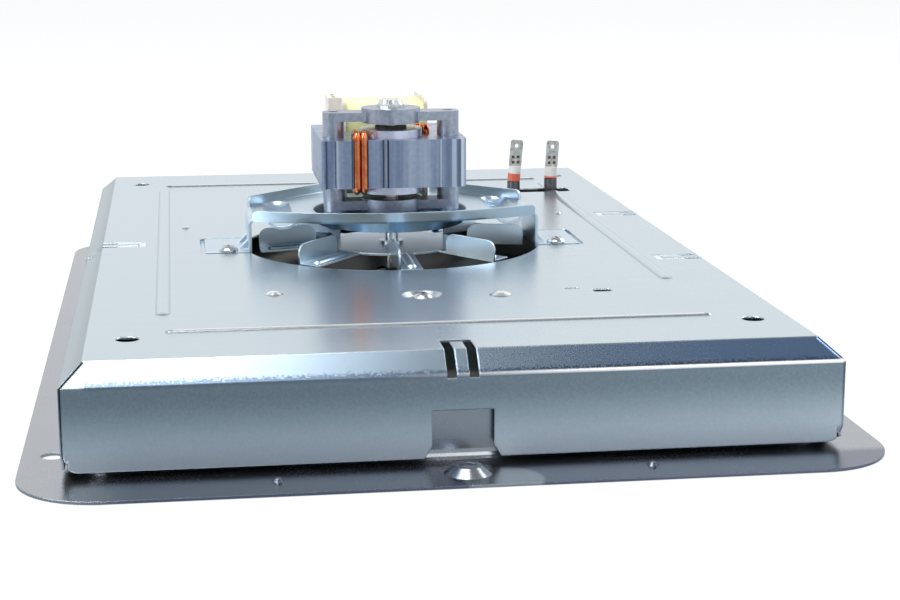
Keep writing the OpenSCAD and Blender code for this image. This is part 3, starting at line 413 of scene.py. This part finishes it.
def tabFinish():
    material, tree, shader = newMaterial("spadeTab")
    x, y, z = objectAxes(tree)
    fine = noise(tree, objectVector(tree), 600, 3, 0.65)
    colour = ramp(tree, fine, [(0.30, (0.36, 0.36, 0.34)), (0.70, (0.70, 0.70, 0.68))])
    for middleX, middleZ in weldMarks["middles"]:
        for sideX in (-1, 1):
            for sideZ in (-1, 1):
                offX = maths(tree, "SUBTRACT", x, middleX + sideX * weldMarks["step"][0])
                offZ = maths(tree, "SUBTRACT", z, middleZ + sideZ * weldMarks["step"][1])
                square = maths(tree, "MAXIMUM", maths(tree, "ABSOLUTE", offX), maths(tree, "ABSOLUTE", offZ))
                inside = band(tree, square, weldMarks["radius"], weldMarks["radius"] * 0.6)
                colour = mixColours(tree, inside, colour, weldMarks["colour"])
    feed(tree, shader, colour=colour, metal=1.0, rough=maths(tree, "MULTIPLY_ADD", fine, 0.16, 0.22))
    bumped(tree, shader, fine, 0.15, 0.00006)
    return material


def plainMetal(name, dark, light, rough, scale=400, bump=0.15, stretch=(1, 1, 1)):
    material, tree, shader = newMaterial(name)
    patches = noise(tree, objectVector(tree), 60, 3, 0.6)
    fine = noise(tree, objectVector(tree, stretch), scale, 3, 0.65)
    tone = maths(tree, "MULTIPLY_ADD", fine, 0.6, maths(tree, "MULTIPLY", patches, 0.4))
    colour = ramp(tree, tone, [(0.30, dark), (0.70, light)])
    feed(tree, shader, colour=colour, metal=1.0,
         rough=maths(tree, "MULTIPLY_ADD", fine, 0.16, rough - 0.08))
    bumped(tree, shader, fine, bump, 0.00006)
    return material


def plainSolid(name, dark, light, rough, scale=300, bump=0.1, sheen=0.0):
    material, tree, shader = newMaterial(name)
    fine = noise(tree, objectVector(tree), scale, 3, 0.6)
    patches = noise(tree, objectVector(tree), 90, 2, 0.5)
    tone = maths(tree, "MULTIPLY_ADD", fine, 0.5, maths(tree, "MULTIPLY", patches, 0.5))
    feed(tree, shader, colour=ramp(tree, tone, [(0.3, dark), (0.7, light)]), metal=0.0,
         rough=maths(tree, "MULTIPLY_ADD", fine, 0.12, rough - 0.06))
    shader.inputs["Sheen Weight"].default_value = sheen
    bumped(tree, shader, fine, bump, 0.00006)
    return material


lamination = {
    "sheet": 0.000505,  # metres
    "dark": (0.18, 0.225, 0.33), "middle": (0.28, 0.34, 0.48), "light": (0.50, 0.56, 0.68),
    "shadeAndHighlightLines": (  # upright lines on the front, dark ones painted shade in grooves and slots and bright ones painted highlights on rounded edges: x, half width and tone
        (-0.0049, 0.0005, (0.04, 0.05, 0.07)), (-0.0029, 0.0005, (0.04, 0.05, 0.07)),
        (-0.0039, 0.0004, (0.46, 0.48, 0.52)), (-0.0180, 0.0004, (0.08, 0.09, 0.12)),
        (-0.0241, 0.0004, (0.62, 0.66, 0.74)), (0.0194, 0.0003, (0.62, 0.66, 0.74)),
        (0.0250, 0.0013, (0.56, 0.62, 0.76)), (0.0272, 0.0010, (0.14, 0.18, 0.26)),
        (0.0293, 0.0016, (0.70, 0.74, 0.82))),
    "front": (-0.0140, -0.0152),
    "rough": 0.24}


def laminationFinish():
    material, tree, shader = newMaterial("lamination")
    x, y, z = objectAxes(tree)
    sheets = maths(tree, "FRACT", maths(tree, "DIVIDE", z, lamination["sheet"]))
    seam = maths(tree, "PINGPONG", sheets, 0.5)
    fine = noise(tree, objectVector(tree, (1, 1, 0.02)), 900, 3, 0.6)
    wide = noise(tree, objectVector(tree, (1, 1, 0.01)), 170, 2, 0.5)
    spots = noise(tree, objectVector(tree), 600, 3, 0.6)
    tone = maths(tree, "MULTIPLY_ADD", wide, 0.75, maths(tree, "MULTIPLY", fine, 0.25))
    tone = maths(tree, "MULTIPLY_ADD", seam, 0.10, tone)
    tone = maths(tree, "MULTIPLY_ADD", spots, 0.15, tone)
    colour = ramp(tree, tone, [
        (0.42, lamination["dark"]), (0.58, lamination["middle"]), (0.78, lamination["light"])])
    facing = band(tree, y, *lamination["front"])
    # Painted shade and painted highlights: upright dark and bright lines across the stator's front face.
    for place, half, paintedLineTone in lamination["shadeAndHighlightLines"]:
        off = maths(tree, "ABSOLUTE", maths(tree, "SUBTRACT", x, place))
        there = maths(tree, "MULTIPLY", band(tree, off, half, half * 0.5), facing)
        colour = mixColours(tree, there, colour, paintedLineTone)
    feed(tree, shader, colour=colour, metal=1.0,
         rough=maths(tree, "MULTIPLY_ADD", spots, 0.15, lamination["rough"]))
    bumped(tree, shader, fine, 0.12, 0.00008)
    return material


finishes = {
    "pan": panFinish(),
    "cover": coverFinish(),
    "bracket": bracketFinish(),
    "fan": rolledSheet("galvanisedFan", satinSheet)[0],
    "screw": plainMetal("zincScrew", (0.45, 0.48, 0.50), (0.75, 0.79, 0.80), 0.26, 900),
    "lamination": laminationFinish(),
    "bobbin": plainSolid("bobbinPlastic", (0.50, 0.46, 0.40), (0.66, 0.62, 0.56), 0.42),
    "copper": plainMetal("copperWire", (0.46, 0.08, 0.025), (0.90, 0.31, 0.13), 0.22, 300, 0.05),
    "tape": plainSolid("coilTape", (0.66, 0.67, 0.28), (0.80, 0.80, 0.46), 0.34),
    "die_cast": plainMetal("castBracket", (0.24, 0.27, 0.34), (0.47, 0.51, 0.59), 0.34, 500, 0.25),
    "bronze": plainMetal("bearingBronze", (0.30, 0.20, 0.10), (0.55, 0.40, 0.22), 0.4, 700),
    "bright_steel": plainMetal("brightSteel", (0.55, 0.57, 0.60), (0.84, 0.86, 0.88), 0.20, 700, 0.08),
    "rotor_alloy": plainMetal("rotorAlloy", (0.50, 0.52, 0.64), (0.74, 0.76, 0.90), 0.36, 500, 0.2),
    "washer": plainSolid("blackFibre", (0.015, 0.015, 0.016), (0.04, 0.04, 0.042), 0.5),
    "wheel": plainMetal("plainSheet", (0.42, 0.42, 0.40), (0.60, 0.60, 0.58), 0.30, 700),
    "sheath": plainMetal("oxideSheath", (0.09, 0.09, 0.10), (0.20, 0.19, 0.21), 0.42, 500),
    "seal": plainSolid("siliconeSeal", (0.42, 0.07, 0.03), (0.58, 0.15, 0.08), 0.38),
    "ceramic": plainSolid("whiteCeramic", (0.44, 0.42, 0.41), (0.62, 0.59, 0.58), 0.6),
    "tab": tabFinish(),
}
slots = {row["node"]: row["material_slot"] for row in frame["record"]["subparts"]}
for nodeName, piece in cadNodes.items():
    piece.data.materials.clear()
    piece.data.materials.append(finishes[slots[nodeName]])
print("finishes applied")

# The stator as a stack of punched sheets, in place of its plain block

sheetStack = {
    "Sheets": 40,
    "Gap": 0.00004,  # metres between two sheets
    "Scatter": 0.00005,  # how far a sheet may sit off its place
    "Shrink": 0.998,
    "Seed": 7,
}


def copiedFace(nodeName, level):
    mesh = cadNodes[nodeName].data.copy()
    work = bmesh.new()
    work.from_mesh(mesh)
    bmesh.ops.remove_doubles(work, verts=work.verts, dist=1e-6)
    spare = [f for f in work.faces if any(abs(v.co.z - level) > 1e-5 for v in f.verts)]
    bmesh.ops.delete(work, geom=spare, context="FACES")
    work.to_mesh(mesh)
    work.free()
    piece = bpy.data.objects.new("sheetBlank", mesh)
    bpy.context.scene.collection.objects.link(piece)
    return piece


def stackTree(height):
    tree = bpy.data.node_groups.new("sheetStack", "GeometryNodeTree")
    sockets = {}
    face = tree.interface
    face.new_socket("Geometry", in_out="INPUT", socket_type="NodeSocketGeometry")
    kinds = {"Sheets": "Int", "Seed": "Int", "Gap": "Float", "Scatter": "Float", "Shrink": "Float"}
    for name, kind in kinds.items():
        sockets[name] = face.new_socket(name, in_out="INPUT", socket_type=f"NodeSocket{kind}").identifier
    sockets["Finish"] = face.new_socket(
        "Finish", in_out="INPUT", socket_type="NodeSocketMaterial").identifier
    face.new_socket("Geometry", in_out="OUTPUT", socket_type="NodeSocketGeometry")
    given = addNode(tree, "NodeGroupInput").outputs
    pitch = maths(tree, "DIVIDE", height, given["Sheets"])
    thick = maths(tree, "SUBTRACT", pitch, given["Gap"])
    rise = addNode(tree, "ShaderNodeCombineXYZ", {"Z": thick})
    turned = addNode(tree, "GeometryNodeFlipFaces", {"Mesh": given["Geometry"]})
    pulled = addNode(tree, "GeometryNodeExtrudeMesh", {
        "Mesh": turned.outputs[0], "Offset": rise.outputs[0], "Offset Scale": 1.0, "Individual": False})
    both = addNode(tree, "GeometryNodeJoinGeometry")
    tree.links.new(given["Geometry"], both.inputs[0])
    tree.links.new(pulled.outputs["Mesh"], both.inputs[0])
    sheet = addNode(tree, "GeometryNodeMergeByDistance", {"Geometry": both.outputs[0], "Distance": 1e-6})
    step = addNode(tree, "ShaderNodeCombineXYZ", {"Z": pitch})
    line = addNode(tree, "GeometryNodeMeshLine", {"Count": given["Sheets"], "Offset": step.outputs[0]})
    least = maths(tree, "MULTIPLY", given["Scatter"], -1.0)
    low = addNode(tree, "ShaderNodeCombineXYZ", {"X": least, "Y": least})
    high = addNode(tree, "ShaderNodeCombineXYZ", {"X": given["Scatter"], "Y": given["Scatter"]})
    aside = addNode(tree, "FunctionNodeRandomValue", data_type="FLOAT_VECTOR")
    tree.links.new(low.outputs[0], aside.inputs[0])
    tree.links.new(high.outputs[0], aside.inputs[1])
    tree.links.new(given["Seed"], aside.inputs["Seed"])
    placed = addNode(tree, "GeometryNodeSetPosition", {
        "Geometry": line.outputs[0], "Offset": aside.outputs[0]})
    size = addNode(tree, "ShaderNodeCombineXYZ", {"X": given["Shrink"], "Y": given["Shrink"], "Z": 1.0})
    copies = addNode(tree, "GeometryNodeInstanceOnPoints", {
        "Points": placed.outputs[0], "Instance": sheet.outputs[0], "Scale": size.outputs[0]})
    whole = addNode(tree, "GeometryNodeRealizeInstances", {"Geometry": copies.outputs[0]})
    painted = addNode(tree, "GeometryNodeSetMaterial", {
        "Geometry": whole.outputs[0], "Material": given["Finish"]})
    leaving = addNode(tree, "NodeGroupOutput")
    tree.links.new(painted.outputs[0], leaving.inputs[0])
    return tree, sockets


def buildSheets(stack):
    low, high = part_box("stator_laminations")
    blank = copiedFace("stator_laminations", low[2])
    tree, sockets = stackTree(high[2] - low[2])
    change = blank.modifiers.new("stack", "NODES")
    change.node_group = tree
    for name, value in stack.items():
        change[sockets[name]] = value
    change[sockets["Finish"]] = finishes["lamination"]
    view = bpy.context.evaluated_depsgraph_get()
    mesh = bpy.data.meshes.new_from_object(blank.evaluated_get(view))
    bpy.data.objects.remove(blank)
    sheets = bpy.data.objects.new("stator_sheets", mesh)
    bpy.context.scene.collection.objects.link(sheets)
    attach(sheets, "housing")
    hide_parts("stator_laminations")
    print("stator sheets stacked:", len(mesh.polygons), "faces")


buildSheets(sheetStack)

# Bent edges inside the tapping slots at the cover's sides, in a near-white tone that is a painted highlight

slotEdges = {
    "ends": ((-104.6, 11, -1), (103.6, -50, 1), (103.6, 61, 1)),  # inner end and which way the slot runs, mm
    "long": 12, "half": 5.15, "arm": 3.0, "levels": (37.5, 38.15)}


def boxInto(work, low, high):
    corners = [work.verts.new((x * mm, y * mm, z * mm)) for z in (low[2], high[2])
               for x, y in ((low[0], low[1]), (high[0], low[1]), (high[0], high[1]), (low[0], high[1]))]
    faces = [(3, 2, 1, 0), (4, 5, 6, 7), (0, 1, 5, 4), (1, 2, 6, 5), (2, 3, 7, 6), (3, 0, 4, 7)]
    for face in faces:
        work.faces.new([corners[i] for i in face])


def buildSlotEdges(edges):
    work = bmesh.new()
    bottom, top = edges["levels"]
    half, arm, long = edges["half"], edges["arm"], edges["long"]
    for endX, middleY, way in edges["ends"]:
        bars = [(0, arm - 0.1, -half, half), (arm, long, -half, arm - half), (arm, long, half - arm, half)]
        for start, stop, left, right in bars:
            across = sorted((endX + way * start, endX + way * stop))
            boxInto(work, (across[0], middleY + left, bottom), (across[1], middleY + right, top))
    mesh = bpy.data.meshes.new("slot_edges")
    work.to_mesh(mesh)
    work.free()
    # Near-white finish on the slot edges: painted highlight.
    mesh.materials.append(plainMetal("bentEdgeHighlight", (0.80, 0.83, 0.85), (0.95, 0.97, 0.98), 0.40, 900))
    piece = bpy.data.objects.new("slot_edges", mesh)
    bpy.context.scene.collection.objects.link(piece)
    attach(piece, "housing")
    print("slot edges made")


buildSlotEdges(slotEdges)
